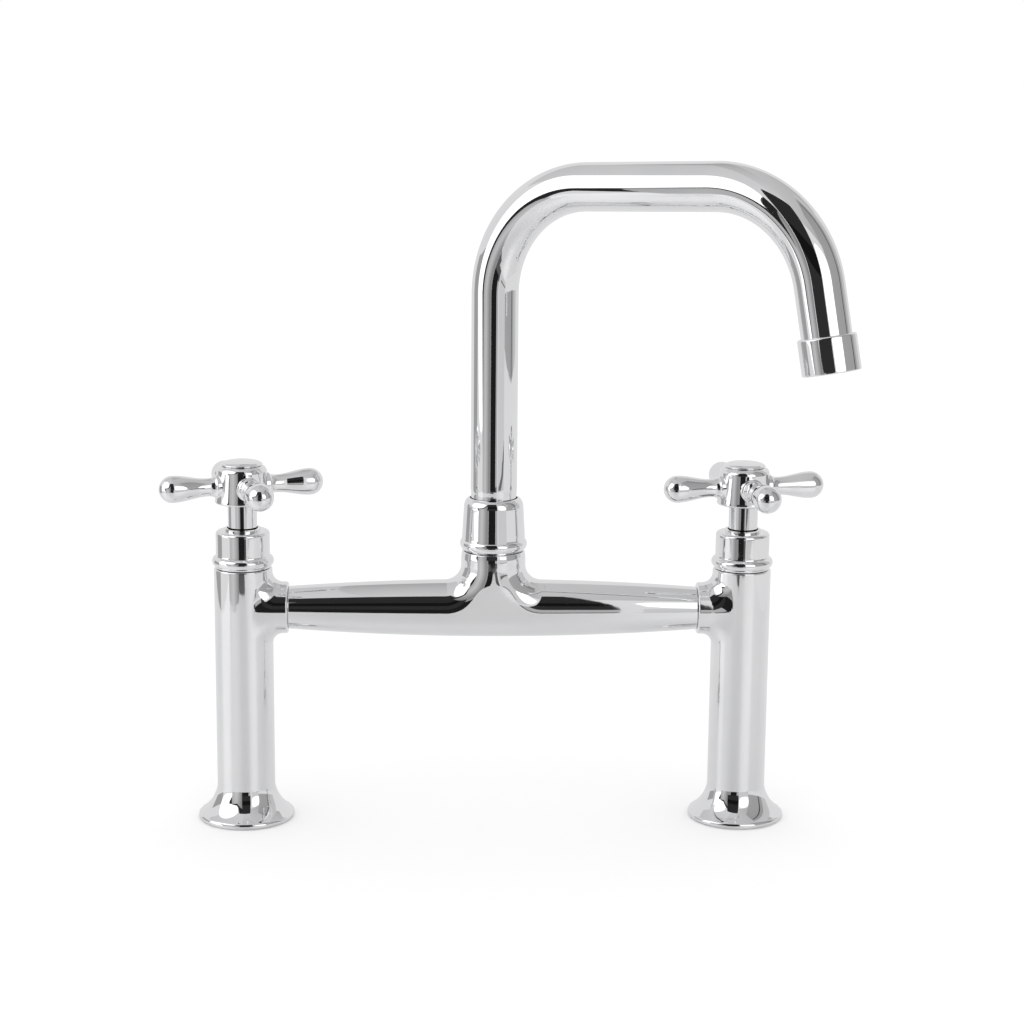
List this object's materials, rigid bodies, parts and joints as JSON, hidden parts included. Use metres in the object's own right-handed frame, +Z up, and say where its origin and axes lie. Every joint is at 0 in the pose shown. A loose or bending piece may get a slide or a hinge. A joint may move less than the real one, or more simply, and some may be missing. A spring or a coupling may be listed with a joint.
{
  "type": "bridge mixer tap with pillar legs",
  "caption": "Deck-mounted bridge mixer tap on pillar legs, with cross-head handles and a tall swivelling square-bend spout in polished chrome.",
  "frame": {"origin": "midway between the two pillar axes, on the plane of the deck that both feet stand on", "axes": "+Z up along the pillars, +X from the hot pillar to the cold pillar, -Y towards the user"},
  "size_m": [0.2643, 0.1266, 0.2677],
  "materials": {
    "chromed_brass": "mirror-polished chrome plate on brass",
    "chromed_tube": "mirror-polished chrome plate on bent brass tube",
    "chromed_cap": "bright chrome plate with a faint brushed dome",
    "valve_brass": "machined brass, unplated",
    "seal_rubber": "black nitrile rubber",
    "disc_ceramic": "lapped alumina ceramic",
    "washer_plastic": "natural acetal",
    "insert_plastic": "moulded off-white plastic",
    "screw_steel": "turned stainless steel",
    "mesh_steel": "perforated stainless steel"
  },
  "bodies": {
    "tap_body": {"hot_foot": "chromed_brass", "hot_foot_seal": "seal_rubber", "hot_pillar": "chromed_brass", "hot_seat_seal": "seal_rubber", "hot_fixed_disc": "disc_ceramic", "hot_slip_washer": "washer_plastic", "hot_valve_body": "valve_brass", "hot_bonnet": "chromed_brass", "cold_foot": "chromed_brass", "cold_foot_seal": "seal_rubber", "cold_pillar": "chromed_brass", "cold_seat_seal": "seal_rubber", "cold_fixed_disc": "disc_ceramic", "cold_slip_washer": "washer_plastic", "cold_valve_body": "valve_brass", "cold_bonnet": "chromed_brass", "bridge": "chromed_brass", "bridge_rings": "seal_rubber", "grub_screws": "screw_steel", "thrust_washer": "washer_plastic", "nut_washer": "washer_plastic", "spout_nut": "chromed_brass"},
    "spout": {"spout_tube": "chromed_tube", "spout_tail": "valve_brass", "spout_rings": "seal_rubber", "aerator_shell": "chromed_brass", "aerator_washer": "seal_rubber", "aerator_insert": "insert_plastic", "aerator_mesh": "mesh_steel"},
    "hot_control": {"hot_moving_disc": "disc_ceramic", "hot_spindle": "valve_brass", "hot_spindle_ring": "seal_rubber", "hot_stem_sleeve": "chromed_brass", "hot_handle": "chromed_brass", "hot_handle_screw": "screw_steel", "hot_index_cap": "chromed_cap"},
    "cold_control": {"cold_moving_disc": "disc_ceramic", "cold_spindle": "valve_brass", "cold_spindle_ring": "seal_rubber", "cold_stem_sleeve": "chromed_brass", "cold_handle": "chromed_brass", "cold_handle_screw": "screw_steel", "cold_index_cap": "chromed_cap"}
  },
  "joints": [
    {"name": "spout_swivel", "type": "hinge", "parent": "tap_body", "child": "spout", "pos_m": [0, 0, 0.121], "axis": [0, 0, 1], "continuous": true},
    {"name": "hot_handle_turn", "type": "hinge", "parent": "tap_body", "child": "hot_control", "pos_m": [-0.1, 0, 0.1], "axis": [0, 0, 1], "range_deg": [0, 180]},
    {"name": "cold_handle_turn", "type": "hinge", "parent": "tap_body", "child": "cold_control", "pos_m": [0.1, 0, 0.1], "axis": [0, 0, 1], "range_deg": [0, 180]}
  ]
}
